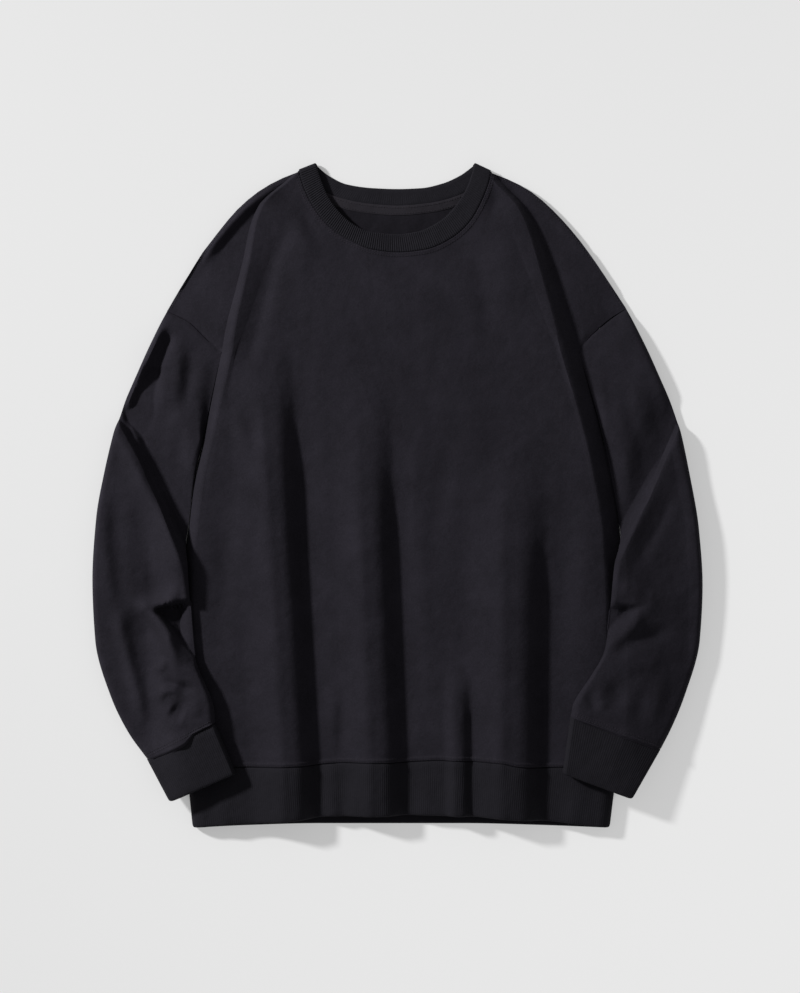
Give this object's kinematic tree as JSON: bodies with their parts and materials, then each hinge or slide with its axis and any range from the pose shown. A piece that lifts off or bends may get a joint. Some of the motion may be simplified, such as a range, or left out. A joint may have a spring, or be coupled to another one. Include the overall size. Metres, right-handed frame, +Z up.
{
  "type": "crewneck sweatshirt",
  "caption": "Oversized drop-shoulder crewneck sweatshirt in heavy jersey, laid flat on its back with both sleeves beside the body.",
  "frame": {"origin": "centre of the garment's box, on the surface it lies on", "axes": "+X towards the wearer's left sleeve, +Y up the body towards the neck, +Z up from the surface"},
  "size_m": [0.6656, 0.7264, 0.0329],
  "materials": {
    "jersey": "matt brushed jersey",
    "rib": "matt ribbed knit",
    "tape": "matt twill tape"
  },
  "bodies": {
    "root": {"front": "jersey", "back": "jersey", "sleeve_right": "jersey", "sleeve_left": "jersey", "neck_rib": "rib", "hem_rib": "rib", "cuff_right": "rib", "cuff_left": "rib", "neck_tape": "tape"}
  },
  "joints": []
}
